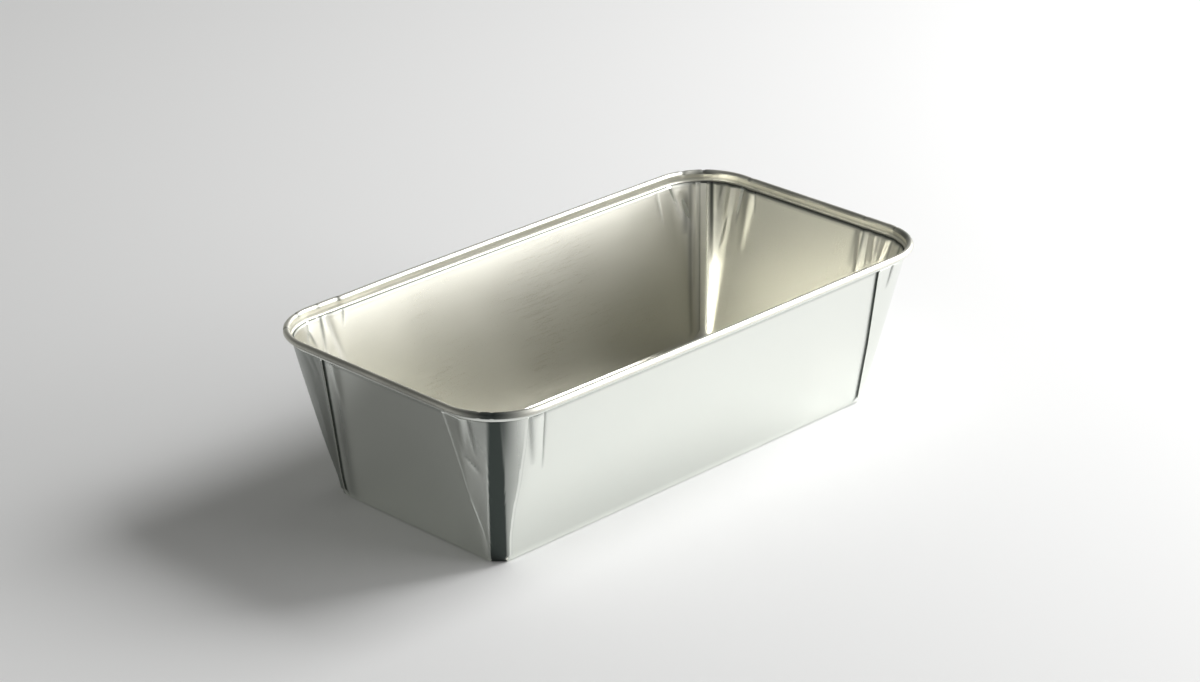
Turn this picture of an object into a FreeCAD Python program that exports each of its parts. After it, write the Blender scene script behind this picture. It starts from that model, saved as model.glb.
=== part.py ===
# Aluminium foil loaf tray, folded from one sheet of foil and curled at the rim.
# Sizes are in millimetres and angles in degrees. The origin is at the middle of the
# base, +X runs along the length, +Y along the width and +Z up out of the mouth.
import FreeCAD, Part
import os
from math import asin, atan2, cos, degrees, pi, radians, sin, tan

Vec = FreeCAD.Vector
UP = Vec(0, 0, 1)

# Overall size, over the curled rim
overall_length = 215.0
overall_width = 114.0
overall_height = 60.5
rim_corner_radius = 22.4

# Sheet and walls
foil = 0.10
wall_taper = 13.7
base_bend_radius = 0.8
base_bend_steps = 2

# Corner folds: the spare foil of each corner lies in two folds, one from each wall
fold_gap_at_base = 0.12
fold_gap_at_rim = 0.30
bare_strip_at_rim = 3.0
lap_at_base = 0.5
lap_at_rim = 6.0

# Rim: a ledge, a collar standing on it and a curled bead that rolls outward and down
ledge_width = 1.1
rim_height = 3.9
bead_radius = 1.15
bead_flats_a_turn = 12
bead_steps = 10
tuck_radius = 0.65
tuck_steps = 3

# Worked out from the sizes above
taper = radians(wall_taper)
sheet_across = foil / cos(taper)
bead_step = 2 * pi / bead_flats_a_turn
curl_radius = bead_radius - foil / 2 / cos(bead_step / 2)
corner_x = overall_length / 2 - rim_corner_radius
corner_y = overall_width / 2 - rim_corner_radius
wall_top = overall_height - rim_height
wall_radius_top = rim_corner_radius - bead_radius - curl_radius - ledge_width
wall_radius_base = wall_radius_top - wall_top * tan(taper)
fold_angle = pi / 4 - asin(bare_strip_at_rim / 2 / wall_radius_top)


def wall_radius(z):
    """Radius of the wall's middle line round a corner, at height z."""
    return wall_radius_base + z * tan(taper)


def rising(at_base, at_rim, z):
    """A size that changes evenly from the base to the top of the wall, at height z."""
    return at_base + (at_rim - at_base) * z / wall_top


def around(angle, radius, z):
    """Point round a corner: angle 0 faces the wall before it, a right angle the wall after."""
    return Vec(radius * sin(angle), -radius * cos(angle), z)


def half_corner(z, radius, side):
    """One skin of the foil from the flat wall to the middle of the corner, at height z.

    radius is that skin's own on the innermost of the three layers. side is +1 for the outer
    skin of the sheet and -1 for the inner one. The foil runs in along the corner, turns back
    on itself near the middle, turns again past the corner's end, and then runs round the
    corner over the other two layers. A stretch has two points where it is straight, and
    three where it goes round the corner.
    """
    pitch = sheet_across + rising(fold_gap_at_base, fold_gap_at_rim, z)
    inner = radius
    middle = radius + pitch - side * sheet_across
    outer = radius + 2 * pitch
    reach = rising(lap_at_base, lap_at_rim, z)
    inner_end = around(fold_angle, inner, z)
    middle_end = around(fold_angle, middle, z)
    forward = Vec(cos(fold_angle), sin(fold_angle), 0)
    inner_crease = (inner_end + middle_end) / 2 + forward * (middle - inner) / 2
    outer_crease = Vec(-reach - (outer - middle) / 2, -(middle + outer) / 2, z)
    return [
        [around(0, inner, z), around(fold_angle / 2, inner, z), inner_end],
        [inner_end, inner_crease],
        [inner_crease, middle_end],
        [middle_end, around(fold_angle / 2, middle, z), around(0, middle, z)],
        [around(0, middle, z), Vec(-reach, -middle, z)],
        [Vec(-reach, -middle, z), outer_crease],
        [outer_crease, Vec(-reach, -outer, z)],
        [Vec(-reach, -outer, z), around(0, outer, z)],
        [around(0, outer, z), around(pi / 8, outer, z), around(pi / 4, outer, z)],
    ]


def whole_corner(z, radius, side):
    """One skin round a whole corner: a half and its mirror image over the diagonal."""
    first = half_corner(z, radius, side)
    second = []
    for points in reversed(first):
        second.append([Vec(-point.y, -point.x, point.z) for point in reversed(points)])
    return first + second


def edge_of(points):
    """Straight edge through two points, or an arc through three."""
    if len(points) == 2:
        return Part.LineSegment(*points).toShape()
    return Part.Arc(*points).toShape()


def heading(point):
    """Direction of a point from the corner's centre, seen from above."""
    return atan2(point.y, point.x)


def face_between(low, high):
    """Face between a stretch of the outline and the same stretch higher up."""
    if len(low) == 2:
        return Part.Face(Part.makePolygon([low[0], low[1], high[1], high[0], low[0]]))
    sweep = degrees(heading(low[2]) - heading(low[0]))
    return edge_of([low[0], high[0]]).revolve(Vec(0, 0, 0), UP, sweep)


def corner_places():
    """Placements of the four corners, anticlockwise from the one at +X and -Y."""
    places = []
    for index, (x, y) in enumerate([(1, -1), (1, 1), (-1, 1), (-1, -1)]):
        spot = Vec(x * corner_x, y * corner_y, 0)
        places.append(FreeCAD.Placement(spot, FreeCAD.Rotation(UP, 90 * index)))
    return places


def wall_ends(z, radius):
    """Ends of the four flat walls at height z, in the order of the corners before them."""
    places = corner_places()
    ends = []
    for index, place in enumerate(places):
        following = places[(index + 1) % 4]
        ends.append([place.multVec(Vec(radius, 0, z)), following.multVec(Vec(0, -radius, z))])
    return ends


def skin_outline(z, radius, side):
    """Closed outline of one skin at height z."""
    edges = []
    for place, flat_wall in zip(corner_places(), wall_ends(z, radius)):
        for points in whole_corner(z, radius, side):
            edges.append(edge_of([place.multVec(point) for point in points]))
        edges.append(edge_of(flat_wall))
    return Part.Wire(edges)


def skin_levels(side):
    """Heights and radii of one skin, up round the base bend and then straight to the rim."""
    turn = pi / 2 - taper
    outer_bend = base_bend_radius + foil
    bend_height = outer_bend * (1 - cos(turn))
    bend_centre = wall_radius(bend_height) + sheet_across / 2 - outer_bend * sin(turn)
    bend = outer_bend if side > 0 else base_bend_radius
    levels = []
    for step in range(base_bend_steps + 1):
        angle = turn * step / base_bend_steps
        levels.append((outer_bend - bend * cos(angle), bend_centre + bend * sin(angle)))
    levels.append((wall_top, wall_radius_top + side * sheet_across / 2))
    return levels


def skin_faces(side):
    """Faces of one skin of the folded wall, from the base to the ledge."""
    faces = []
    levels = skin_levels(side)
    for low, high in zip(levels, levels[1:]):
        stretches = zip(whole_corner(*low, side), whole_corner(*high, side))
        corner = [face_between(below, above) for below, above in stretches]
        for place in corner_places():
            faces += [face.transformed(place.toMatrix()) for face in corner]
        for below, above in zip(wall_ends(*low), wall_ends(*high)):
            faces.append(face_between(below, above))
    return faces


def folded_wall():
    """Base and walls with their corner folds, from the underside up to the ledge."""
    faces = skin_faces(1) + skin_faces(-1)
    outer_levels = skin_levels(1)
    inner_levels = skin_levels(-1)
    faces.append(Part.Face(skin_outline(*outer_levels[0], 1)))
    faces.append(Part.Face(skin_outline(*inner_levels[0], -1)))
    edges = [skin_outline(*outer_levels[-1], 1), skin_outline(*inner_levels[-1], -1)]
    faces.append(Part.makeFace(edges, "Part::FaceMakerBullseye"))
    shell = Part.makeShell(faces)
    shell.sewShape()
    return Part.makeSolid(shell)


def bead_turn(centre, radius, start, steps):
    """Points round part of a circle in the rim's section, going clockwise from an angle."""
    points = []
    for step in range(steps + 1):
        angle = start - step * bead_step
        points.append(centre + Vec(cos(angle), 0, sin(angle)) * radius)
    return points


def rim_middle_line():
    """Middle line of the rim's sheet: along the ledge, up the collar and round the curl."""
    foot = Vec(wall_radius_top + ledge_width, 0, wall_top + foil / 2)
    inner_edge = Vec(wall_radius_top - sheet_across / 2, 0, foot.z)
    bead_centre = Vec(foot.x + curl_radius, 0, overall_height - bead_radius)
    bead = bead_turn(bead_centre, curl_radius, pi, bead_steps)
    tuck_start = pi - bead_steps * bead_step
    inward = Vec(cos(tuck_start), 0, sin(tuck_start))
    tuck_centre = bead_centre + inward * (curl_radius - tuck_radius)
    tuck = bead_turn(tuck_centre, tuck_radius, tuck_start, tuck_steps)
    return [inner_edge, foot] + bead + tuck[1:]


def shifted_line(points, distance):
    """A middle line's points moved to one side by a distance, with mitred corners."""
    moved = []
    for index, point in enumerate(points):
        before = points[max(index - 1, 0)]
        after = points[min(index + 1, len(points) - 1)]
        into = (point - before if index else after - point).normalize()
        out = (after - point if point != after else point - before).normalize()
        across = Vec(-into.z - out.z, 0, into.x + out.x).normalize()
        square = Vec(-into.z, 0, into.x)
        moved.append(point + across * (distance / across.dot(square)))
    return moved


def rim_pieces():
    """The rim's four straight runs and its four corners."""
    middle = rim_middle_line()
    outline = shifted_line(middle, foil / 2) + shifted_line(middle, -foil / 2)[::-1]
    before_corner = Part.Face(Part.makePolygon(outline + outline[:1]))
    after_corner = before_corner.copy()
    before_corner.rotate(Vec(0, 0, 0), UP, -90)
    pieces = []
    for place, run in zip(corner_places(), [2 * corner_y, 2 * corner_x] * 2):
        corner = before_corner.revolve(Vec(0, 0, 0), UP, 90)
        straight = after_corner.extrude(Vec(0, run, 0))
        pieces += [corner.transformed(place.toMatrix()), straight.transformed(place.toMatrix())]
    return pieces


def foil_tray():
    """The whole tray: one folded sheet."""
    wall = folded_wall()
    return wall.fuse(rim_pieces()).removeSplitter()


os.makedirs("parts", exist_ok=True)
tray = foil_tray()
tray.exportStep("parts/foil_tray.step")
print("foil_tray", len(tray.Solids), "solid, valid", tray.isValid(), "volume", round(tray.Volume, 1))
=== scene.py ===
"""Aluminium foil loaf tray: the folded sheet in its looks, on a plain pale floor.

Sizes in the classes are in millimetres and angles in degrees, unless a name says otherwise,
and they become metres where a mesh is made. X runs along the tray, Y across it and Z up.
A distance u is measured round the wall from a corner's middle, plus towards the wall after it.
"""

import logging
from dataclasses import dataclass, replace
from enum import Enum
from math import cos, pi, radians, sin, tan
from typing import Any

import bmesh
import bpy
import numpy as np
from mathutils import Matrix, Vector


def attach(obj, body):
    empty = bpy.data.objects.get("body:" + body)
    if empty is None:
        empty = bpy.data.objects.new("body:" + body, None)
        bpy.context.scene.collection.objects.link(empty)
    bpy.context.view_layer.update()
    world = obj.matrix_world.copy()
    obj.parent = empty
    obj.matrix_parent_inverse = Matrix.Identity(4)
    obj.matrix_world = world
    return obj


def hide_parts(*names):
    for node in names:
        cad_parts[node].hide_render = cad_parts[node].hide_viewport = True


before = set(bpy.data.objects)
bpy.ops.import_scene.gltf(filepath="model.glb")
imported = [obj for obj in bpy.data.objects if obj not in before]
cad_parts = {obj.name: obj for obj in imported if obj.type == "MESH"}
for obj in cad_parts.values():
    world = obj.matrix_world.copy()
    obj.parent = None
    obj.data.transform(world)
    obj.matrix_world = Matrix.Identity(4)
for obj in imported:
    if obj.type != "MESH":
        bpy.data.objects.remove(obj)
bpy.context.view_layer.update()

LOG = logging.getLogger("foil_tray")
MM = 0.001

Pair = tuple[float, float]
Triple = tuple[float, float, float]
Array = np.ndarray
Numbers = float | Array


class Corner(Enum):
    """The tray's corners, anticlockwise from above. The value counts quarter turns."""

    RIGHT = 0
    BACK = 1
    LEFT = 2
    NEAR = 3


class Side(Enum):
    """The two halves of a corner: towards the wall before it, or the wall after it."""

    BEFORE = -1
    AFTER = 1


class Layer(Enum):
    """Which layer of the folded sheet a crease is pressed into."""

    WALL = "wall and innermost layer"
    FLAP = "outermost layer of a corner"


class Section(Enum):
    """How a crease is shaped across its own line."""

    SHARP = "sharp"
    SOFT = "soft"


class Ends(Enum):
    """Where a crease is at its full height."""

    FROM_START = "full at its start"
    MIDDLE = "full in the middle"


Stretch = tuple[Corner, Layer, Array, Array]


def smooth(share: Numbers) -> Numbers:
    """Ease a share of 0 to 1 in and out."""
    share = np.clip(share, 0.0, 1.0)
    return share * share * (3.0 - 2.0 * share)


def placed(name: str, data: Any) -> bpy.types.Object:
    """Make an object of its data and put it in the scene.

    Args:
        name: The object's name.
        data: Its mesh, lamp or camera.

    Returns:
        The object, at the origin.
    """
    made = bpy.data.objects.new(name, data)
    bpy.context.scene.collection.objects.link(made)
    return made


def finished(name: str, mesh: bmesh.types.BMesh) -> bpy.types.Object:
    """Turn a mesh that is being built into an object.

    Args:
        name: The name of the object and its data.
        mesh: The mesh, which is freed.

    Returns:
        The object, at the origin.
    """
    data = bpy.data.meshes.new(name)
    mesh.to_mesh(data)
    mesh.free()
    return placed(name, data)


@dataclass(frozen=True)
class TrayForm:
    """The plan and section that every piece of the tray shares with the CAD model."""

    length: float = 215.0
    width: float = 114.0
    height: float = 60.5
    rim_corner_radius: float = 22.4
    foil: float = 0.10
    wall_taper: float = 13.7
    base_bend: float = 0.85
    ledge_width: float = 1.1
    rim_height: float = 3.9
    bead_radius: float = 1.15
    side_bow: float = 0.4

    @property
    def curl_radius(self) -> float:
        """Radius of the bead's middle line."""
        return self.bead_radius - self.foil / 2

    @property
    def wall_top(self) -> float:
        """Height of the ledge's underside."""
        return self.height - self.rim_height

    @property
    def centre(self) -> Pair:
        """Distance of the corner centres from the middle, along and across."""
        return (self.length / 2 - self.rim_corner_radius, self.width / 2 - self.rim_corner_radius)

    @property
    def top_radius(self) -> float:
        """Radius of the wall's middle line round a corner, under the ledge."""
        return self.rim_corner_radius - self.bead_radius - self.curl_radius - self.ledge_width

    @property
    def foot_radius(self) -> float:
        """Radius of the wall's middle line round a corner, carried down to the base plane."""
        return self.top_radius - self.wall_top * tan(radians(self.wall_taper))

    def radius(self, z: Numbers) -> Numbers:
        """Radius of the wall's middle line round a corner, at height z."""
        return self.foot_radius + z * tan(radians(self.wall_taper))

    def before_end(self, corner: Corner) -> bool:
        """Whether the wall that follows a corner is an end of the tray, and not a long side."""
        return corner in (Corner.RIGHT, Corner.LEFT)

    def run(self, corner: Corner) -> float:
        """Length of the flat wall that follows a corner."""
        along, across = self.centre
        return 2 * (across if self.before_end(corner) else along)

    def place(
        self, turns: Array, u: Array, half: float, radius: Numbers
    ) -> tuple[Array, Array, Array, Array]:
        """Turn distances round the wall into places seen from above.

        Args:
            turns: Quarter turns of each point's corner.
            u: Distance of each point.
            half: Length of half the corner's arc at the points' height.
            radius: Distance of the points from the corner's centre, or its line.

        Returns:
            The points' x and y, and the x and y of the outward direction at each.
        """
        angle = np.clip(u / half, -1.0, 1.0) * (pi / 4) + pi / 4
        beyond = u - np.clip(u, -half, half)
        out_x, out_y = np.sin(angle), -np.cos(angle)
        local_x = radius * out_x + np.where(beyond < 0, beyond, 0.0)
        local_y = radius * out_y + np.where(beyond > 0, beyond, 0.0)
        along, across = self.centre
        cos_k = np.array([1, 0, -1, 0])[turns]
        sin_k = np.array([0, 1, 0, -1])[turns]
        centre_x = np.array([along, along, -along, -along])[turns]
        centre_y = np.array([-across, across, across, -across])[turns]
        x = centre_x + local_x * cos_k - local_y * sin_k
        y = centre_y + local_x * sin_k + local_y * cos_k
        return x, y, out_x * cos_k - out_y * sin_k, out_x * sin_k + out_y * cos_k

    def bowed(self, x: Array, y: Array, z: Numbers, out_y: Array) -> Array:
        """Draw the ends of the long sides in a little, so that the sides bow outwards."""
        share = np.clip(np.abs(x) / self.centre[0], 0.0, 1.0) ** 2
        return y - self.side_bow * share * np.abs(out_y) * np.sign(y) * z / self.height


@dataclass(frozen=True)
class Fold:
    """One of the two folds of a corner: its reach at some heights, how open its edges are, and painted
    shade beside its edge and on its flap.
    """

    reach: tuple[Pair, ...]
    edge_radius: float = 0.30
    strip_half_width: float = 1.4
    # Painted shadow in the gap beside the flap's edge: its strength, width and gap.
    painted_shade: float = 0.0
    shade_width: float = 0.42
    shade_gap: float = 0.2
    # A painted dark reflection on the flap, eased in round the corner's middle.
    flap_painted_shade: float = 0.0
    flap_painted_shade_ease: float = 4.0

    def reach_at(self, z: float) -> float:
        """Distance of the outer crease from the corner's middle, at height z."""
        heights, distances = zip(*self.reach)
        return float(np.interp(z, heights, distances))

    def shade(self, distance: Array, z: float) -> Array:
        """How much painted shade darkens the wall just past the outer crease, at height z: a painted
        shadow of the flap's raised edge.
        """
        beyond = distance - self.reach_at(z) - self.shade_gap - self.shade_width / 2
        return self.painted_shade * np.exp(-((beyond / self.shade_width) ** 2))

    def flap_shade(self, u: Array) -> Array:
        """How much a painted dark reflection darkens the flap, which sets in round the corner's middle.
        """
        return self.flap_painted_shade * smooth((u + self.flap_painted_shade_ease) / (2 * self.flap_painted_shade_ease))


@dataclass(frozen=True)
class Crease:
    """A crease that the press left: a line on the unrolled wall and its shape across.

    Its start and end are a distance u and a height. Of its widths, the first is towards the
    wall before it where the line runs down. Its line may be darkened with painted shade, for
    shade in the crease or a dark reflection; with no rise it is only that line of painted shade.
    """

    start: Pair
    end: Pair
    rise: float = 0.0
    widths: Pair = (0.5, 0.5)
    section: Section = Section.SHARP
    ends: Ends = Ends.FROM_START
    painted_shade: float = 0.0
    shade_width: float = 0.5
    narrowing: float = 0.5
    steepness: float = 1.4

    def press(self, u: Array, z: float) -> tuple[Array, Array]:
        """Find what the crease does to points of the wall at one height.

        Args:
            u: Distance of each point.
            z: Height of the points.

        Returns:
            Each point's outward offset, and how much painted shade darkens it, from 0 to 1.
        """
        step_u, step_z = self.end[0] - self.start[0], self.end[1] - self.start[1]
        size = (step_u**2 + step_z**2) ** 0.5
        from_u, from_z = u - self.start[0], z - self.start[1]
        along = np.clip((from_u * step_u + from_z * step_z) / size**2, 0.0, 1.0)
        across = (from_z * step_u - from_u * step_z) / size
        share = np.cos(along * pi / 2) if self.ends is Ends.FROM_START else np.sin(along * pi)
        width = np.where(across < 0, self.widths[0], self.widths[1])
        far = np.abs(across) / (width * (1.0 - self.narrowing * along))
        fall = np.exp(-self.steepness * far if self.section is Section.SHARP else -(far**2))
        shade = self.painted_shade * np.sqrt(np.clip(share, 0.0, 1.0))
        return self.rise * share * fall, shade * np.exp(-((across / self.shade_width) ** 2))


@dataclass(frozen=True)
class Flat:
    """Flats that take the place of a corner's round up to one height and are gone at another."""

    width: float
    full_to: float
    gone_at: float
    widest_sine: float = 0.69

    def factor(self, angle: Array, radius: float, z: float) -> Array:
        """Draw the corner's arc in towards a flat across its middle and one on either side.

        Args:
            angle: Angle of each point from the corner's middle, in radians.
            radius: Radius of the arc.
            z: Height of the points.

        Returns:
            The factor on each point's radius.
        """
        edge = np.arcsin(min(self.widest_sine, self.width / 2 / radius))
        middle, span = (edge + pi / 4) / 2, (pi / 4 - edge) / 2
        beside = np.cos(span) / np.cos(angle - middle)
        drawn_in = np.where(angle < edge, np.cos(edge) / np.cos(angle), beside)
        share = 1.0 - smooth((z - self.full_to) / (self.gone_at - self.full_to))
        return 1.0 + (drawn_in - 1.0) * share


@dataclass(frozen=True)
class PaintedShadeBand:
    """Painted shade down one corner, for the dark reflection there: a band and its two flanks.

    Each pair is a value low down, and what it gains on the way up to the rim.
    """

    corner: Corner = Corner.NEAR
    opens_at: float = 34.0
    opening: float = 22.0
    edge_shift: Pair = (-0.1, 0.5)
    edge_blur: Pair = (0.22, 1.5)
    after: Pair = (0.70, 0.22)
    after_fade: Pair = (0.5, 0.5)
    after_stop: float = 0.6
    before: Pair = (0.25, 0.35)
    before_width: Pair = (7.0, 5.0)

    def shade(self, u: Array, z: float, edge: float, reach: float) -> Array:
        """Find how much painted shade darkens the band and its flanks.

        Args:
            u: Distance of each point.
            z: Height of the points.
            edge: Distance of the flat's edge from the corner's middle.
            reach: Distance of the fold after the corner.

        Returns:
            The share at each point, from 0 to 1.
        """
        rise = smooth((z - self.opens_at) / self.opening)
        band = (self.edge_shift, self.edge_blur)
        flanks = (self.after, self.after_fade, self.before, self.before_width)
        values = (low + gain * rise for low, gain in band + flanks)
        shift, blur, after, fade, before, width = values
        band = smooth(0.5 + (edge + shift - np.abs(u)) / (2 * blur))
        across = np.clip((u - edge) / (reach - edge), 0.0, 1.0)
        flank_after = after * (1.0 - fade * across) * (u < reach - self.after_stop)
        flank_before = smooth(1.0 + (u + edge) / width) * before
        return np.maximum(band, np.where(u > 0, flank_after, flank_before))


@dataclass(frozen=True)
class Swell:
    """A broad, shallow bulge or hollow of a flat wall."""

    outward: Pair
    middle: Pair
    spread: Pair
    rise: float
    fall: int = 4

    def lift(self, along: Array, z: Array, facing: Array) -> Array:
        """Find the outward offset.

        Args:
            along: Place of each point along the wall.
            z: Height of each point.
            facing: How squarely the foil faces the swell's way at each point.

        Returns:
            The offset at each point.
        """
        far = (along - self.middle[0]) / self.spread[0]
        high = (z - self.middle[1]) / self.spread[1]
        return self.rise * np.exp(-(far**2) - high**2) * np.clip(facing, 0.0, 1.0) ** self.fall


class SheetMesh:
    """A sheet that starts as a flat grid and is bent into place row by row."""

    same_place = 1e-4
    same_level = 0.01

    def __init__(self, name: str) -> None:
        """Name the piece that the sheet becomes."""
        self.name = name
        self.rows: list[Array] = []

    def add_row(self, *lines: Array) -> None:
        """Add a row round the tray: its x, y, z, flat x, flat y and how much painted shade darkens it.
        """
        row = np.array(lines)
        self.rows.append(np.hstack([row, row[:, :1]]))

    def bend(
        self, thickness: float, finishes: list[bpy.types.Material], fill_first_row: bool
    ) -> bpy.types.Object:
        """Bend a grid onto the rows, close it round and give it its thickness and finishes.

        Args:
            thickness: Thickness of the foil.
            finishes: The finish of the outside and that of the inside.
            fill_first_row: True to close the opening inside the first row with one face.

        Returns:
            The piece's object, at the origin, with a map of the flat sheet.
        """
        x, y, z, flat_x, flat_y, painted_shade = np.array(self.rows).transpose(1, 0, 2)
        rows, columns = x.shape
        mesh = bmesh.new()
        bmesh.ops.create_grid(mesh, x_segments=columns - 1, y_segments=rows - 1, size=1.0)
        chart = mesh.loops.layers.uv.new("flat_sheet")
        # Painted shade at each point, which the finishes turn near black.
        shade_marks = mesh.verts.layers.float.new("painted_shade")
        places = {}
        for vert in mesh.verts:
            column = round((vert.co.x + 1) / 2 * (columns - 1))
            row = round((vert.co.y + 1) / 2 * (rows - 1))
            places[vert] = (row, column)
        for face in mesh.faces:
            for loop in face.loops:
                at = places[loop.vert]
                loop[chart].uv = (flat_x[at] * MM, flat_y[at] * MM)
        for vert, at in places.items():
            vert.co = Vector((x[at], y[at], z[at])) * MM
            vert[shade_marks] = float(painted_shade[at])
        places.clear()
        bmesh.ops.remove_doubles(mesh, verts=mesh.verts, dist=self.same_place * MM)
        if fill_first_row:
            open_edges = [edge for edge in mesh.edges if edge.is_boundary]
            level = min(edge.verts[0].co.z for edge in open_edges) + self.same_level * MM
            first = [edge for edge in open_edges if edge.verts[0].co.z < level]
            for face in bmesh.ops.holes_fill(mesh, edges=first, sides=0)["faces"]:
                for loop in face.loops:
                    loop[chart].uv = loop.vert.co.xy
        for face in mesh.faces:
            face.smooth = len(face.verts) <= 4
        piece = finished(self.name, mesh)
        for finish in finishes:
            piece.data.materials.append(finish)
        modifier = piece.modifiers.new("foil_thickness", "SOLIDIFY")
        modifier.thickness = thickness * MM
        modifier.offset = 0.0
        modifier.use_even_offset = False
        modifier.material_offset = len(finishes) - 1
        modifier.material_offset_rim = 0
        return piece


@dataclass
class FoldedWall:
    """The base and walls, with the two folds of each corner laid round it."""

    form: TrayForm
    folds: dict[tuple[Corner, Side], Fold]
    creases: dict[tuple[Corner, Layer], list[Crease]]
    swells: list[Swell]
    flats: dict[Corner, Flat]
    band: PaintedShadeBand
    fine_stretch: float = 17.0
    wall_steps: int = 70
    edge_steps: int = 5
    middle_steps: int = 7
    flap_steps: int = 60
    long_steps: int = 24
    short_steps: int = 8
    base_shares: tuple[float, ...] = (0.55, 0.25, 0.08, 0.02)
    bend_rows: int = 6
    low_rows: int = 15
    high_rows: int = 26
    fine_rows_from: float = 32.0
    into_rim: float = 0.03
    flat_to: float = 0.1
    settle_height: float = 3.0
    foot_share: float = 0.68
    strip_gap: float = 0.45
    lap_gap: float = 0.13
    flap_gap: float = 0.62
    flap_edge_fall: float = 0.11
    edge_size_low: float = 0.45
    ridge: float = 0.52
    ridge_share: float = 0.2
    ridge_size_low: float = 0.4
    pressed_from: float = 1.0
    # Painted shade along the top of the wall, just under the ledge.
    top_shade: float = 0.8
    top_shade_depth: float = 1.2
    top_shade_ease: float = 0.6

    def heights(self) -> tuple[Array, Array, Array]:
        """Rows of the sheet from the middle of the base to the ledge.

        Returns:
            Each row's height, its radius round a corner and its share of the way in from
            the base's edge to the middle of the base.
        """
        form = self.form
        turn = pi / 2 - radians(form.wall_taper)
        outer = form.base_bend + form.foil / 2
        bend_top = outer * (1 - np.cos(turn))
        bend_centre = form.radius(bend_top) - form.base_bend * np.sin(turn)
        angles = np.linspace(0.0, turn, self.bend_rows)
        bend_z = outer - form.base_bend * np.cos(angles)
        bend_radius = bend_centre + form.base_bend * np.sin(angles)
        low = np.linspace(bend_z[-1], self.fine_rows_from, self.low_rows)[1:]
        high = np.linspace(self.fine_rows_from, form.wall_top + self.into_rim, self.high_rows)[1:]
        wall_z = np.concatenate([low, high])
        inward = np.array(self.base_shares)
        z = np.concatenate([np.full_like(inward, bend_z[0]), bend_z, wall_z])
        inner = np.full_like(inward, bend_radius[0])
        radius = np.concatenate([inner, bend_radius, form.radius(wall_z)])
        share = np.concatenate([inward, np.zeros(len(z) - len(inward))])
        return z, radius, share

    def grown(self, low: float, z: float) -> float:
        """A share that grows evenly from its value at the foot to 1 at the top of the wall."""
        return low + (1.0 - low) * z / self.form.wall_top

    def folded_side(
        self, fold: Fold, z: float, half: float, settled: float
    ) -> tuple[list[tuple[Layer, Array, Array]], float, float]:
        """The sheet's path through one fold, from the flat wall to the flap's edge.

        Args:
            fold: The fold.
            z: Height of the row.
            half: Length of half a corner's arc at that height.
            settled: How far the layers have parted above the base, from 0 to 1.

        Returns:
            The layer, distances and outward offsets of each stretch, the fold's reach and
            the outward offset at the end of its path.
        """
        foot = self.foot_share * half if z < self.settle_height else 0.0
        strip = foot + (fold.strip_half_width - foot) * settled
        reach = foot + (fold.reach_at(z) - foot) * settled
        strip_edge = self.strip_gap / 2 * settled
        size = fold.edge_radius * self.grown(self.edge_size_low, z) * settled
        lap = self.lap_gap * settled
        wall = np.linspace(half + self.fine_stretch, strip, self.wall_steps + 1)[:-1]
        turn = np.arange(self.edge_steps) / self.edge_steps * pi
        ease = np.arange(self.middle_steps) / self.middle_steps
        middle = strip + (reach - strip) * ease
        middle_gap = 2 * strip_edge + (lap - 2 * strip_edge) * smooth(ease)
        strip_turn = strip - strip_edge * np.sin(turn)
        stretches = [
            (Layer.WALL, wall, np.zeros_like(wall)),
            (Layer.WALL, strip_turn, strip_edge * (1 - np.cos(turn))),
            (Layer.FLAP, middle, middle_gap),
            (Layer.FLAP, reach + size * np.sin(turn), lap + size * (1 - np.cos(turn))),
        ]
        return stretches, reach, lap + 2 * size

    def flap(
        self, reaches: Pair, edge_gaps: Pair, z: float, settled: float
    ) -> tuple[Array, Array]:
        """The outermost layer of a corner, from one fold's edge to the other's.

        Args:
            reaches: Reach of the fold before the corner and of the one after it.
            edge_gaps: Outward offset of the flap at those two edges.
            z: Height of the row.
            settled: How far the layers have parted above the base, from 0 to 1.

        Returns:
            The distances and outward offsets of its points.
        """
        before, after = reaches
        even = np.linspace(0.0, 1.0, self.flap_steps + 1)
        u = (after + before) * (even + (1.0 - np.cos(pi * even)) / 2) / 2 - before
        rest = self.flap_gap * settled
        ridge = self.ridge * settled * self.grown(self.ridge_size_low, z)
        fall = (after + before) * self.flap_edge_fall
        gap = np.full_like(u, rest)
        for edge_gap, distance in zip(edge_gaps, (u + before, after - u)):
            gap += (edge_gap - ridge - rest) * np.exp(-distance / fall)
            gap += ridge * np.exp(-distance / (fall * self.ridge_share))
        return u, gap

    def stretches(self, z: float, half: float) -> list[Stretch]:
        """The sheet's path round the tray at one height.

        Args:
            z: Height of the row.
            half: Length of half a corner's arc at that height.

        Returns:
            For each stretch its corner, its layer, and its points' distances round the wall
            and outward offsets.
        """
        path: list[Stretch] = []
        settled = smooth((z - self.flat_to) / (self.settle_height - self.flat_to))
        for corner in Corner:
            folds = [self.folds[(corner, side)] for side in Side]
            sides = [self.folded_side(fold, z, half, settled) for fold in folds]
            (before, *before_edge), (after, *after_edge) = sides
            for layer, distance, gap in before:
                path.append((corner, layer, -distance, gap))
            reaches, edge_gaps = zip(before_edge, after_edge)
            path.append((corner, Layer.FLAP, *self.flap(reaches, edge_gaps, z, settled)))
            for layer, distance, gap in reversed(after):
                path.append((corner, layer, distance[::-1], gap[::-1]))
            count = self.short_steps if self.form.before_end(corner) else self.long_steps
            start = half + self.fine_stretch
            stop = half + self.form.run(corner) - self.fine_stretch
            flat = np.linspace(start, stop, count + 1)[1:-1]
            path.append((corner, Layer.WALL, flat, np.zeros_like(flat)))
        return path

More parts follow.
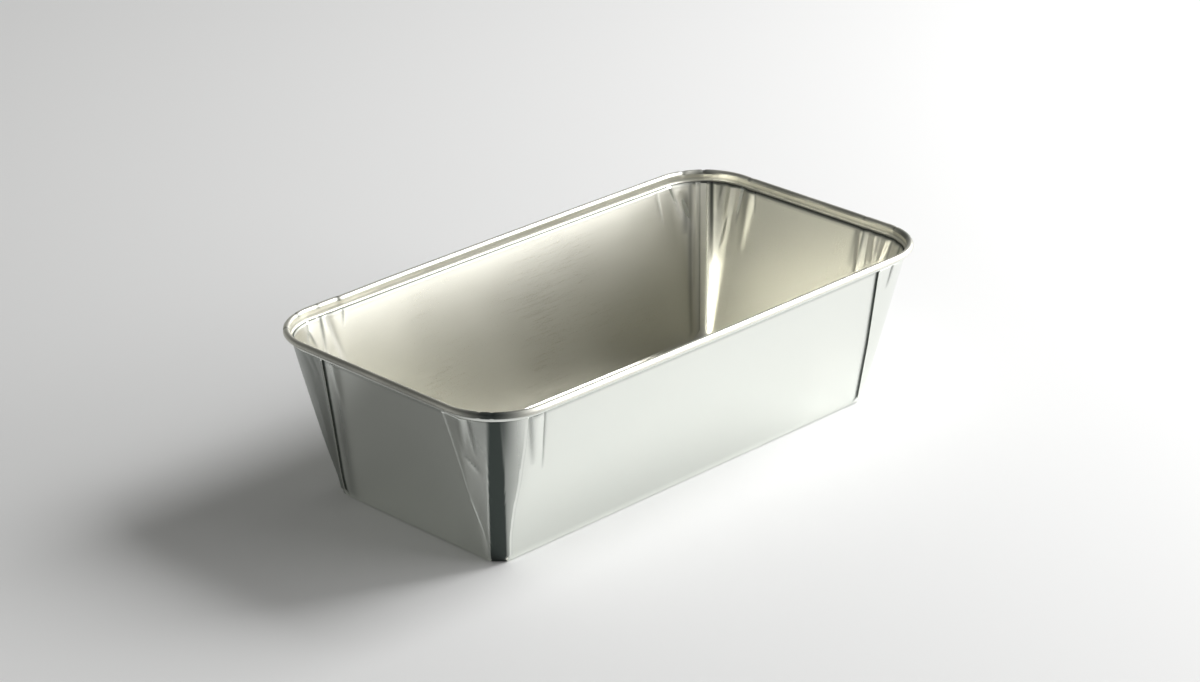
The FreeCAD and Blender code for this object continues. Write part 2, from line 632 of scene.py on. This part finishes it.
    def pressed(self, path: list[Stretch], z: float, on_base: bool) -> tuple[Array, Array]:
        """How the press shaped the sheet at one height, and where painted shade darkens it.

        Args:
            path: The sheet's path round the tray.
            z: Height of the row.
            on_base: True for a row inside the base's edge.

        Returns:
            The creases' outward offset at each point, and how much painted shade darkens each point.
        """
        lifts, shades = [], []
        above_bend = z > self.pressed_from
        for corner, layer, u, _ in path:
            lift, shade_marks = np.zeros_like(u), [np.zeros_like(u)]
            after = self.folds[(corner, Side.AFTER)]
            if above_bend:
                for crease in self.creases.get((corner, layer), []):
                    raised, shade_mark = crease.press(u, z)
                    lift += raised
                    shade_marks.append(shade_mark)
            if layer is Layer.WALL:
                # Painted shade along the top of the wall, under the ledge.
                high = (z - self.form.wall_top + self.top_shade_depth) / self.top_shade_ease
                shade_marks.append(np.full_like(u, self.top_shade * smooth(high)))
                # Painted shadow beside each fold's edge.
                for side in Side:
                    shade_marks.append(self.folds[(corner, side)].shade(side.value * u, z) * above_bend)
            elif len(u) > self.flap_steps:
                # Painted dark reflections on the flap and down the band.
                shade_marks.append(after.flap_shade(u) * above_bend)
                if corner is self.band.corner and not on_base:
                    edge = self.flats[corner].width / 2
                    shade_marks.append(self.band.shade(u, z, edge, after.reach_at(z)))
            lifts.append(lift)
            shades.append(np.max(shade_marks, axis=0))
        return np.concatenate(lifts), np.concatenate(shades)

    def build(self, finishes: list[bpy.types.Material]) -> bpy.types.Object:
        """Make the folded wall and give it its finishes.

        Args:
            finishes: The finish of the outside and that of the inside.

        Returns:
            The piece's object.
        """
        form = self.form
        heights, radii, shares = self.heights()
        slants = np.hypot(np.diff(heights, prepend=heights[0]), np.diff(radii, prepend=radii[0]))
        sheet = SheetMesh("foil_walls")
        for z, radius, share, slant in zip(heights, radii, shares, np.cumsum(slants)):
            half = radius * pi / 4
            path = self.stretches(z, half)
            turns = np.concatenate([np.full(len(u), corner.value) for corner, _, u, _ in path])
            u = np.concatenate([part[2] for part in path])
            gap = np.concatenate([part[3] for part in path])
            lift, shade = self.pressed(path, z, share > 0)
            angle = np.abs(np.clip(u / half, -1.0, 1.0)) * (pi / 4)
            factor = np.ones_like(u)
            for corner, flat in self.flats.items():
                factor = np.where(turns == corner.value, flat.factor(angle, radius, z), factor)
            x, y, out_x, out_y = form.place(turns, u, half, radius * factor + gap + lift)
            level = np.full_like(x, z)
            for swell in self.swells:
                facing = out_x * swell.outward[0] + out_y * swell.outward[1]
                along = x if swell.outward[1] else y
                push = swell.lift(along, level, facing) * (z > self.pressed_from)
                x, y = x + push * swell.outward[0], y + push * swell.outward[1]
            y = form.bowed(x, y, level, out_y)
            flat_x, flat_y, _, _ = form.place(turns, u, half, radii[0] + slant)
            inwards = 1 - share
            sheet.add_row(x * inwards, y * inwards, level, flat_x * inwards, flat_y * inwards, shade)
        return sheet.bend(form.foil, finishes, fill_first_row=True)


@dataclass(frozen=True)
class Pinch:
    """A place where the folded layers nick the rim's bead, which painted shade may darken; with no rise
    it is only painted shade.
    """

    u: float
    rise: float
    width: float
    painted_shade: float = 0.0

    def spread(self, u: Array) -> Array:
        """How strong the nick and its painted shade are at distances u, from 0 to 1."""
        return np.exp(-(((u - self.u) / self.width) ** 2))


@dataclass
class CurledRim:
    """The rim: a ledge, a collar standing on it and a bead that rolls outward and down."""

    form: TrayForm
    creases: dict[tuple[Corner, Layer], list[Crease]]
    pinches: dict[Corner, list[Pinch]]
    fine_stretch: float = 30.0
    arc_steps: int = 60
    near_steps: int = 36
    long_steps: int = 24
    short_steps: int = 4
    skirt: float = 0.5
    skirt_inset: float = 0.02
    foot_bend: float = 0.35
    foot_bend_points: int = 5
    collar_from: float = 0.3
    collar_to: float = 0.85
    collar_points: int = 3
    collar_give: float = 0.6
    bead_steps: int = 25
    bead_turn: float = 300.0
    tuck_radius: float = 0.65
    tuck_steps: int = 5
    # Painted shade along the ledge's bend, laid over a glint there, and up the foot of the collar.
    bend_shade: float = 1.2
    bend_shade_at: float = 0.12
    bend_shade_width: float = 0.28
    joint_shade: float = 0.35
    joint_share: float = 0.3
    step_corner: Corner = Corner.LEFT
    step_at: float = -27.0
    step_size: float = 0.35
    step_ease: float = 1.2
    step_length: float = 26.0
    map_radius: float = 44.0

    def profile(self) -> tuple[Array, Array, Array, Array]:
        """The sheet's middle line across the rim.

        Returns:
            Outward offsets from the wall, heights, how far each point belongs to the bead, and
            how much painted shade darkens it, along the ledge's bend and the foot of the collar.
        """
        form = self.form
        level = form.wall_top + form.foil / 2
        bend, inset = self.foot_bend, self.skirt_inset
        turn = np.linspace(0.0, pi / 2, self.foot_bend_points)
        points: list[Triple] = [(-inset, level - self.skirt, 0.0)]
        for angle in turn:
            across, up = bend - bend * np.cos(angle), bend * np.sin(angle)
            points.append((across - inset, level - bend + up, 0.0))
        for angle in turn:
            across, up = bend * np.sin(angle), bend - bend * np.cos(angle)
            points.append((form.ledge_width - bend + across, level + up, 0.0))
        centre_z = form.height - form.bead_radius
        centre_r = form.ledge_width + form.curl_radius
        for share in np.linspace(self.collar_from, self.collar_to, self.collar_points):
            z = level + bend + (centre_z - level - bend) * share
            points.append((form.ledge_width, z, share * self.collar_give))
        last = pi - radians(self.bead_turn)
        inner = form.curl_radius - self.tuck_radius
        tuck = (centre_r + inner * np.cos(last), centre_z + inner * np.sin(last))
        turns = (
            ((centre_r, centre_z), form.curl_radius, np.linspace(pi, last, self.bead_steps + 1)),
            (tuck, self.tuck_radius, np.linspace(last, last - pi / 2, self.tuck_steps + 1)[1:]),
        )
        for (middle_r, middle_z), radius, angles in turns:
            for angle in angles:
                spot = (middle_r + radius * np.cos(angle), middle_z + radius * np.sin(angle))
                points.append((*spot, 1.0))
        offsets, heights, shares = np.array(points).T
        # Painted shade along the ledge's bend and the collar's foot.
        shade = np.exp(-(((offsets - self.bend_shade_at) / self.bend_shade_width) ** 2))
        shade = np.clip(self.bend_shade * shade, 0.0, 1.0) * (shares == 0)
        shade += self.joint_shade * ((shares > 0) & (shares < self.joint_share))
        return offsets, heights, shares, shade

    def pressed(self, corner: Corner, u: Array) -> tuple[Array, Array, Array]:
        """How creases and nicks shape the rim near one corner, and where painted shade darkens it.

        Args:
            corner: The corner.
            u: Distance of each point.

        Returns:
            At each point, the outward offset of the wall under the ledge, the growth of the
            bead and how much painted shade darkens it.
        """
        lift, nick, shade = np.zeros_like(u), np.zeros_like(u), np.zeros_like(u)
        for crease in self.creases.get((corner, Layer.WALL), []):
            lift += crease.press(u, self.form.wall_top)[0]
        for pinch in self.pinches[corner]:
            nick += pinch.rise * pinch.spread(u)
            shade = np.maximum(shade, pinch.painted_shade * pinch.spread(u))
        return lift, nick, shade

    def build(self, finishes: list[bpy.types.Material]) -> bpy.types.Object:
        """Make the rim and give it its finishes.

        Args:
            finishes: The finish of the outside and that of the inside.

        Returns:
            The piece's object.
        """
        form = self.form
        half = form.top_radius * pi / 4
        fine = half + self.fine_stretch
        parts: list[tuple[Corner, Array]] = []
        for corner in Corner:
            count = self.short_steps if form.before_end(corner) else self.long_steps
            before = np.linspace(-fine, -half, self.near_steps + 1)[:-1]
            arc = np.linspace(-half, half, self.arc_steps + 1)[:-1]
            after = np.linspace(half, fine, self.near_steps + 1)[:-1]
            flat = np.linspace(fine, half + form.run(corner) - self.fine_stretch, count + 1)[:-1]
            parts.append((corner, np.concatenate([before, arc, after, flat])))
        turns = np.concatenate([np.full(len(u), corner.value) for corner, u in parts])
        pressed = zip(*[self.pressed(corner, u) for corner, u in parts])
        wall_lift, nick, shade = (np.concatenate(shares) for shares in pressed)
        u = np.concatenate([part for _, part in parts])
        past = (self.step_at - u) / self.step_length
        stepped = (turns == self.step_corner.value) & (past > 0)
        step = self.step_size * smooth(past * self.step_length / self.step_ease)
        shoulder = step * (1 - smooth(past)) * stepped
        offsets, heights, shares, line_shades = self.profile()
        centre_r = form.ledge_width + form.curl_radius
        centre_z = form.height - form.bead_radius
        across = np.diff(offsets, prepend=offsets[0])
        lengths = np.cumsum(np.hypot(across, np.diff(heights, prepend=heights[0])))
        sheet = SheetMesh("foil_rim")
        lines = zip(offsets, heights, shares, line_shades, lengths)
        for offset, height, share, line_shade, length in lines:
            near_wall = max(0.0, min(1 - offset / form.ledge_width, 1.0)) * (share == 0)
            grown = 1 + (nick / form.curl_radius) * share
            radius = form.top_radius + centre_r + (offset - centre_r) * grown
            radius = radius + wall_lift * near_wall - shoulder * (share > 0)
            level = np.full_like(u, height)
            z = centre_z + (height - centre_z) * grown if share == 1 else level
            x, y, _, out_y = form.place(turns, u, half, radius)
            map_radius = form.top_radius + self.map_radius + length
            flat_x, flat_y, _, _ = form.place(turns, u, half, map_radius)
            # Painted shade on the bead from the pinches, and along the ledge's bend.
            row_shade = np.maximum(shade * (share == 1), line_shade)
            sheet.add_row(x, form.bowed(x, y, z, out_y), z, flat_x, flat_y, row_shade)
        return sheet.bend(form.foil, finishes, fill_first_row=False)


class Value:
    """A number in a material, with its maths written as Python expressions."""

    def __init__(self, nodes: "Nodes", socket: bpy.types.NodeSocket | None) -> None:
        """Wrap an output socket of a node tree."""
        self.nodes = nodes
        self.socket = socket

    def _join(self, operation: str, first: Any, second: Any) -> "Value":
        """Add a Math node for one operation on two values."""
        return self.nodes.add("ShaderNodeMath", {"operation": operation}, {0: first, 1: second})

    def __add__(self, other: Any) -> "Value":
        """Add."""
        return self._join("ADD", self, other)

    def __radd__(self, other: Any) -> "Value":
        """Add to a number."""
        return self._join("ADD", other, self)

    def __sub__(self, other: Any) -> "Value":
        """Take away."""
        return self._join("SUBTRACT", self, other)

    def __rsub__(self, other: Any) -> "Value":
        """Take from a number."""
        return self._join("SUBTRACT", other, self)

    def __mul__(self, other: Any) -> "Value":
        """Multiply."""
        return self._join("MULTIPLY", self, other)

    def __rmul__(self, other: Any) -> "Value":
        """Multiply a number."""
        return self._join("MULTIPLY", other, self)


class Nodes:
    """A node tree and the one way in which nodes are added to it."""

    def __init__(self, tree: bpy.types.NodeTree) -> None:
        """Take a node tree and empty it."""
        self.tree = tree
        tree.nodes.clear()

    def add(
        self,
        kind: str,
        settings: dict | None = None,
        inputs: dict | None = None,
        output: Any = 0,
    ) -> Value:
        """Add a node.

        Args:
            kind: The node's type.
            settings: Its properties.
            inputs: Numbers, colours or wrapped sockets by input name or number.
            output: Name or number of the output to hand back.

        Returns:
            The wrapped output socket, which is empty for a node without outputs.
        """
        node = self.tree.nodes.new(kind)
        for name, setting in (settings or {}).items():
            setattr(node, name, setting)
        for name, value in (inputs or {}).items():
            if isinstance(value, Value):
                self.tree.links.new(value.socket, node.inputs[name])
            else:
                node.inputs[name].default_value = value
        return Value(self, node.outputs[output] if len(node.outputs) else None)

    def noise(self, at: Value, scale: float, detail: float, roughness: float) -> Value:
        """Add a flat noise pattern and hand back its value."""
        inputs = {"Vector": at, "Scale": scale, "Detail": detail, "Roughness": roughness}
        return self.add("ShaderNodeTexNoise", {"noise_dimensions": "2D"}, inputs)

    def mix(self, factor: Value, first: Any, second: Any) -> Value:
        """Blend two colours, each four numbers or a wrapped socket."""
        inputs = {"Factor": factor, "A": first, "B": second}
        return self.add("ShaderNodeMix", {"data_type": "RGBA"}, inputs, "Result")

    def towards(self, way: Value, direction: Triple) -> Value:
        """How far a direction in the surroundings points the given way, from -1 to 1."""
        inputs = {0: way, 1: direction}
        return self.add("ShaderNodeVectorMath", {"operation": "DOT_PRODUCT"}, inputs, "Value")


@dataclass(frozen=True)
class FoilFinish:
    """Rolled aluminium foil: a faint rolling grain, fine specks and slow changes of gloss, and painted
    shade that turns it near black where the mesh marks it.
    """

    name: str
    colour: Triple
    warm: Triple
    roughness: float
    speckle: float
    speckle_depth: float
    streak: float
    # Colour of the painted shade and painted dark reflections, and the roughness added with it.
    painted_shade: Triple = (0.062, 0.074, 0.069)
    painted_shade_roughness: float = 0.32
    grain_scale: Triple = (60.0, 1400.0, 1.0)
    grain_depth: float = 0.2
    speck_scale: float = 2600.0
    cloud_scale: float = 22.0
    cloud_gloss: float = 0.25

    def material(self) -> bpy.types.Material:
        """Make the finish's material.

        Returns:
            A material that reads the flat sheet's own map.
        """
        made = bpy.data.materials.new(self.name)
        made.use_nodes = True
        nodes = Nodes(made.node_tree)
        chart = nodes.add("ShaderNodeUVMap", {"uv_map": "flat_sheet"})
        stretched = {"Vector": chart, "Scale": self.grain_scale}
        grain_at = nodes.add("ShaderNodeMapping", {"vector_type": "POINT"}, stretched)
        grain = nodes.noise(grain_at, scale=1.0, detail=3.0, roughness=0.6)
        specks = nodes.noise(chart, scale=self.speck_scale, detail=2.0, roughness=0.7)
        clouds = nodes.noise(chart, scale=self.cloud_scale, detail=3.0, roughness=0.5)
        roughness = self.roughness + (specks - 0.5) * self.speckle
        roughness = roughness + (grain - 0.5) * self.streak
        roughness = roughness + (clouds - 0.5) * (self.roughness * self.cloud_gloss)
        # Painted shade and painted dark reflections: near black, and rougher, where the mesh marks it.
        shade = nodes.add("ShaderNodeAttribute", {"attribute_name": "painted_shade"}, None, "Fac")
        roughness = roughness + shade * self.painted_shade_roughness
        colour = nodes.mix(clouds, (*self.colour, 1.0), (*self.warm, 1.0))
        colour = nodes.mix(shade, colour, (*self.painted_shade, 1.0))
        height = specks * self.speckle_depth + grain * (self.speckle_depth * self.grain_depth)
        relief = {"Strength": 1.0, "Distance": MM, "Height": height}
        bump = nodes.add("ShaderNodeBump", None, relief)
        surface = {"Base Color": colour, "Metallic": 1.0, "Roughness": roughness, "Normal": bump}
        shader = nodes.add("ShaderNodeBsdfPrincipled", None, surface)
        nodes.add("ShaderNodeOutputMaterial", None, {"Surface": shader})
        return made


@dataclass(frozen=True)
class SoftLamp:
    """A soft lamp that faces the tray: its bearing from +X, its height and its size."""

    name: str
    bearing: float
    elevation: float
    distance: float
    size: Pair
    power: float

    def hang(self) -> None:
        """Hang the lamp so that it faces the tray."""
        data = bpy.data.lights.new(self.name, "AREA")
        data.shape = "RECTANGLE"
        data.size, data.size_y = self.size[0] * MM, self.size[1] * MM
        data.energy = self.power
        lamp = placed(self.name, data)
        bearing, elevation = radians(self.bearing), radians(self.elevation)
        level = cos(elevation)
        way = Vector((level * cos(bearing), level * sin(bearing), sin(elevation)))
        lamp.location = way * self.distance * MM
        lamp.rotation_mode = "QUATERNION"
        lamp.rotation_quaternion = (-way).to_track_quat("-Z", "Y")


@dataclass
class Studio:
    """The floor, the soft lamps, the surroundings and the camera."""

    floor_size: float = 8000.0
    floor_colour: Triple = (0.86, 0.86, 0.86)
    bright_way: Triple = (0.62, -0.70, 0.20)
    bright_span: Pair = (-0.7, 0.9)
    bright: Triple = (0.42, 0.42, 0.41)
    dim: Triple = (0.23, 0.233, 0.22)
    sky_span: Pair = (0.05, 0.75)
    sky_strengths: Pair = (1.7, 0.4)
    lamps: tuple[SoftLamp, ...] = (
        SoftLamp("key_lamp", -20.0, 40.0, 1300.0, (700.0, 600.0), 15.5),
        SoftLamp("side_lamp", -49.0, 18.0, 1200.0, (1200.0, 600.0), 7.6),
    )
    camera_place: Triple = (-758.89, -746.89, 503.34)
    camera_right: Triple = (0.70221, -0.71196, -0.00298)
    camera_up: Triple = (0.28687, 0.27910, 0.91641)
    camera_sees: Pair = (50.0, 50000.0)
    focal_pixels: float = 3410.0
    picture_width: float = 1200.0
    sensor: float = 36.0

    def floor(self) -> None:
        """Lay the pale floor."""
        mesh = bmesh.new()
        bmesh.ops.create_grid(mesh, x_segments=1, y_segments=1, size=self.floor_size / 2 * MM)
        floor = finished("floor", mesh)
        made = bpy.data.materials.new("pale_floor")
        made.use_nodes = True
        nodes = Nodes(made.node_tree)
        paint = {"Color": (*self.floor_colour, 1.0), "Roughness": 0.0}
        shader = nodes.add("ShaderNodeBsdfDiffuse", None, paint)
        nodes.add("ShaderNodeOutputMaterial", None, {"Surface": shader})
        floor.data.materials.append(made)

    def surroundings(self) -> None:
        """Light the room: pale towards the lamps, dimmer away from them and overhead."""
        world = bpy.data.worlds.new("studio")
        world.use_nodes = True
        bpy.context.scene.world = world
        nodes = Nodes(world.node_tree)
        eased = {"interpolation_type": "SMOOTHSTEP"}
        way = nodes.add("ShaderNodeTexCoord", None, None, "Generated")
        towards = nodes.towards(way, tuple(Vector(self.bright_way).normalized()))
        low, high = self.bright_span
        span = {"Value": towards, "From Min": low, "From Max": high}
        share = nodes.add("ShaderNodeMapRange", eased, span)
        colour = nodes.mix(share, (*self.dim, 1.0), (*self.bright, 1.0))
        low, high = self.sky_span
        span = {"Value": nodes.towards(way, (0.0, 0.0, 1.0)), "From Min": low, "From Max": high}
        span |= {"To Min": self.sky_strengths[0], "To Max": self.sky_strengths[1]}
        strength = nodes.add("ShaderNodeMapRange", eased, span)
        glow = nodes.add("ShaderNodeBackground", None, {"Color": colour, "Strength": strength})
        nodes.add("ShaderNodeOutputWorld", None, {"Surface": glow})

    def camera(self) -> None:
        """Stand the camera at the photograph's angle."""
        data = bpy.data.cameras.new("camera")
        data.sensor_width = self.sensor
        data.lens = self.sensor * self.focal_pixels / self.picture_width
        data.clip_start, data.clip_end = (distance * MM for distance in self.camera_sees)
        camera = placed("camera", data)
        right, up = Vector(self.camera_right), Vector(self.camera_up)
        turned = Matrix((right, up, right.cross(up))).transposed().to_4x4()
        camera.matrix_world = Matrix.Translation(Vector(self.camera_place) * MM) @ turned
        bpy.context.scene.camera = camera

    def build(self) -> None:
        """Set up the whole studio."""
        self.floor()
        self.surroundings()
        for lamp in self.lamps:
            lamp.hang()
        self.camera()
        bpy.context.scene.view_settings.view_transform = "Standard"


# Painted shade: the darkening set on some folds is a painted shadow in the gap beside the flap's edge,
# and on the left flap a painted dark reflection.
FOLDS = {
    (Corner.RIGHT, Side.BEFORE): Fold(
        ((0.0, 4.3), (25.5, 11.2), (40.0, 15.8), (56.6, 21.2)), 0.42, painted_shade=1.0, shade_width=1.0
    ),
    (Corner.RIGHT, Side.AFTER): Fold(((0.0, 4.0), (20.0, 8.0), (56.6, 18.0))),
    (Corner.BACK, Side.BEFORE): Fold(((0.0, 4.0), (20.0, 8.0), (56.6, 19.0)), 0.30, 1.7),
    (Corner.BACK, Side.AFTER): Fold(((0.0, 4.0), (20.0, 7.0), (56.6, 16.0)), 0.30, 1.1),
    (Corner.LEFT, Side.BEFORE): Fold(((0.0, 4.0), (20.0, 7.6), (56.6, 17.0))),
    (Corner.LEFT, Side.AFTER): Fold(
        ((0.0, 5.4), (8.0, 7.1), (33.6, 15.3), (56.6, 22.2)), 0.34, painted_shade=0.95, shade_width=0.85, flap_painted_shade=0.6
    ),
    (Corner.NEAR, Side.BEFORE): Fold(
        ((0.0, 3.2), (6.0, 3.4), (13.0, 5.2), (22.5, 8.6), (35.0, 12.4), (47.0, 16.2), (56.6, 19.4))
    ),
    (Corner.NEAR, Side.AFTER): Fold(
        ((0.0, 4.0), (10.7, 4.3), (20.3, 5.6), (31.7, 8.0), (45.0, 9.8), (56.6, 10.6)), 0.26, painted_shade=0.22
    ),
}

# Painted shade: the darkening set on creases paints dark lines and bands, for shade in the creases and
# dark reflections.
CREASES = {
    (Corner.NEAR, Layer.FLAP): [
        Crease((-9.1, 57.5), (-6.6, 41.9), -0.40, (0.9, 0.7), painted_shade=0.7),
        Crease((-11.6, 57.5), (-10.6, 42.0), 0.45, (1.6, 1.6), Section.SOFT),
        Crease((-11.2, 41.7), (-4.5, 35.2), -0.35, (0.9, 1.4), ends=Ends.MIDDLE, painted_shade=0.45),
        Crease((-6.5, 16.2), (-3.1, 14.4), -0.25, (0.7, 0.7), ends=Ends.MIDDLE),
    ],
    (Corner.NEAR, Layer.WALL): [
        # Painted shade: the near long wall darker towards its foot.
        Crease((-18.0, -2.0), (150.0, -2.0), ends=Ends.MIDDLE, painted_shade=0.2, shade_width=26.0),
        Crease((11.7, 57.5), (13.2, 36.0), -0.45, (1.2, 0.8), painted_shade=0.55, shade_width=1.1),
        Crease((14.3, 57.5), (15.4, 31.0), 0.45, (1.6, 2.2), Section.SOFT),
        Crease((18.4, 57.5), (17.5, 33.0), -0.50, (0.6, 1.8), painted_shade=0.75),
    ],
    (Corner.BACK, Layer.WALL): [
        Crease((-0.3, 60.0), (-0.3, -90.0), painted_shade=1.0, shade_width=1.3),
        Crease((-3.4, 64.0), (-3.3, 27.0), painted_shade=1.0, shade_width=1.1),
        Crease((-7.4, 70.0), (-5.6, 28.0), painted_shade=0.66, shade_width=2.8),
        Crease((-13.6, 70.0), (-9.0, 30.0), painted_shade=0.5, shade_width=2.6),
        Crease((-20.2, 66.0), (-17.0, 34.0), painted_shade=0.45, shade_width=2.2),
        Crease((2.9, 58.0), (1.2, 28.0), -0.45, (0.5, 0.6)),
        Crease((4.7, 60.0), (4.6, -6.0), painted_shade=0.55, shade_width=0.9),
        Crease((6.1, 54.0), (6.4, 38.0), ends=Ends.MIDDLE, painted_shade=0.6, shade_width=1.6),
        Crease((-8.8, 57.5), (-5.6, 48.0), 0.30, (0.9, 0.9), painted_shade=0.6),
        Crease((-7.0, 57.5), (-5.0, 46.0), -0.50, (1.6, 2.0), Section.SOFT),
        Crease((-10.9, 49.0), (-5.6, 31.5), 0.25, (0.8, 1.1), ends=Ends.MIDDLE, painted_shade=0.65),
        Crease((-11.5, 57.5), (-8.0, 34.0), -0.60, (1.6, 1.8), Section.SOFT),
        Crease((-16.7, 57.5), (-13.0, 42.0), 0.40, (1.4, 1.4), painted_shade=0.5, shade_width=0.9),
        Crease((-20.4, 57.5), (-15.8, 34.0), -0.70, (2.6, 2.2), Section.SOFT),
        Crease((-22.9, 57.5), (-22.6, 49.0), 0.22, (0.6, 0.9), painted_shade=0.5),
        Crease((20.6, 57.5), (17.2, 44.0), 0.25, (0.7, 1.4), painted_shade=0.5),
        Crease((13.8, 57.5), (8.0, 44.0), 0.30, (1.0, 1.6), painted_shade=0.45, shade_width=0.8),
        Crease((8.6, 54.0), (3.8, 40.0), 0.45, (1.8, 1.8), Section.SOFT, Ends.MIDDLE),
        Crease((3.4, 44.0), (3.5, 12.0), -0.20, (0.6, 1.0), ends=Ends.MIDDLE),
    ],
    (Corner.LEFT, Layer.WALL): [
        Crease((-12.6, 57.5), (-9.3, 50.0), 0.30, (0.8, 1.0), painted_shade=0.85),
        Crease(
            (-10.4, 56.0), (-12.4, 47.0), -0.45, (1.0, 1.2), Section.SHARP, Ends.MIDDLE, 0.75, 0.7
        ),
        Crease((-18.2, 57.5), (-15.0, 43.0), 0.35, (1.0, 1.2), painted_shade=0.85, shade_width=0.7),
        Crease((-20.6, 57.5), (-21.4, 38.0), 0.45, (2.0, 1.2), Section.SOFT, painted_shade=0.5, shade_width=1.4),
        Crease((-28.5, 57.5), (-25.6, 50.5), 0.22, (0.6, 1.0), painted_shade=0.85),
        Crease((27.0, 54.0), (6.5, -6.0), ends=Ends.MIDDLE, painted_shade=0.45, shade_width=2.6),
        Crease((27.7, 57.5), (23.6, 40.0), 0.50, (1.6, 2.4), Section.SOFT),
    ],
    (Corner.LEFT, Layer.FLAP): [
        Crease((17.8, 57.5), (18.0, 48.0), -0.35, (0.8, 0.9)),
        Crease((13.8, 57.5), (15.4, 46.0), -0.35, (0.9, 1.2)),
    ],
    (Corner.RIGHT, Layer.FLAP): [
        Crease((-14.4, 57.5), (-13.3, 47.5), -0.35, (0.6, 0.8), painted_shade=0.85, shade_width=0.6),
    ],
    (Corner.RIGHT, Layer.WALL): [
        Crease((25.2, 57.5), (21.0, 38.0), -0.60, (1.4, 2.0), Section.SOFT),
        Crease((24.2, 58.0), (22.0, 40.0), painted_shade=0.6),
        Crease((27.6, 58.0), (25.4, 42.0), painted_shade=0.35, shade_width=1.3),
        Crease((17.2, 58.0), (15.8, 44.0), painted_shade=0.4, shade_width=0.9),
        Crease((10.6, 58.0), (10.8, 46.0), painted_shade=0.5),
        Crease((4.6, 58.0), (5.6, 48.0), painted_shade=0.6, shade_width=0.8),
        Crease((22.8, 57.5), (18.6, 41.0), 0.40, (1.0, 0.8)),
        Crease((19.0, 57.5), (16.0, 44.0), -0.45, (1.3, 1.5), Section.SOFT),
        Crease((13.2, 57.5), (13.6, 46.0), -0.55, (1.2, 2.0), Section.SOFT),
        Crease((7.4, 57.5), (8.4, 48.0), -0.45, (1.2, 1.4), Section.SOFT),
    ],
}

FLATS = {Corner.NEAR: Flat(5.4, 36.0, 56.0), Corner.LEFT: Flat(10.0, 24.0, 50.0)}

SWELLS = [
    Swell((0.0, -1.0), (-52.0, 30.0), (26.0, 22.0), -0.18),
    Swell((0.0, -1.0), (20.0, 22.0), (48.0, 18.0), 0.16),
    Swell((0.0, -1.0), (66.0, 38.0), (20.0, 20.0), -0.12),
    Swell((-1.0, 0.0), (4.0, 26.0), (22.0, 20.0), 0.18),
    Swell((0.0, 1.0), (-20.0, 32.0), (40.0, 20.0), 0.20),
    Swell((0.0, 1.0), (56.0, 26.0), (24.0, 22.0), -0.14),
    Swell((1.0, 0.0), (-2.0, 30.0), (22.0, 20.0), 0.20),
]

# Painted shade: the darkening set on pinches paints dark reflections and shade onto the bead.
PINCHES = {
    Corner.NEAR: [
        Pinch(-1.0, 0.0, 11.0, 1.0),
        Pinch(-34.0, 0.0, 28.0, 0.5),
        Pinch(-4.5, -0.22, 0.6),
        Pinch(-0.8, -0.20, 0.5),
    ],
    Corner.BACK: [
        Pinch(-1.0, 0.0, 5.0, 0.8),
        Pinch(-34.0, 0.0, 16.0, 0.45),
        Pinch(6.9, -0.24, 0.8, 0.7),
        Pinch(-0.2, -0.26, 0.5, 0.9),
        Pinch(-18.6, -0.20, 0.7, 0.7),
    ],
    Corner.RIGHT: [
        Pinch(34.0, 0.0, 16.0, 0.45),
        Pinch(5.0, 0.0, 9.0, 0.75),
        Pinch(26.0, -0.16, 0.7, 0.6),
        Pinch(12.0, -0.16, 0.7, 0.7),
        Pinch(3.0, -0.16, 0.6, 0.7),
    ],
    Corner.LEFT: [
        Pinch(34.0, 0.0, 28.0, 0.5),
        Pinch(-27.2, -0.10, 0.7, 0.95),
        Pinch(-18.0, -0.14, 0.6, 0.8),
        Pinch(-9.0, -0.16, 0.7, 0.7),
        Pinch(2.0, -0.16, 0.6, 0.6),
    ],
}

BRIGHT = FoilFinish(
    "bright_foil",
    colour=(0.862, 0.88, 0.834),
    warm=(0.842, 0.868, 0.828),
    roughness=0.15,
    speckle=0.05,
    speckle_depth=0.0006,
    streak=0.05,
)
SATIN = FoilFinish(
    "satin_foil",
    colour=(0.905, 0.89, 0.81),
    warm=(0.875, 0.865, 0.785),
    roughness=0.31,
    speckle=0.14,
    speckle_depth=0.0034,
    streak=0.06,
)
RIM_SATIN = replace(
    SATIN, name="satin_rim", roughness=0.40, speckle=0.12, speckle_depth=0.0026, streak=0.05
)


def main() -> None:
    """Build the studio and the tray's pieces in order."""
    logging.basicConfig(level=logging.INFO, format="%(message)s")
    Studio().build()
    form = TrayForm()
    outside = BRIGHT.material()
    folded = FoldedWall(form, FOLDS, CREASES, SWELLS, FLATS, PaintedShadeBand())
    walls = folded.build([outside, SATIN.material()])
    rim = CurledRim(form, CREASES, PINCHES).build([outside, RIM_SATIN.material()])
    for piece in (walls, rim):
        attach(piece, "root")
        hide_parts("foil_tray")
        LOG.info("%s: %d faces", piece.name, len(piece.data.polygons))


if __name__ == "__main__":
    main()
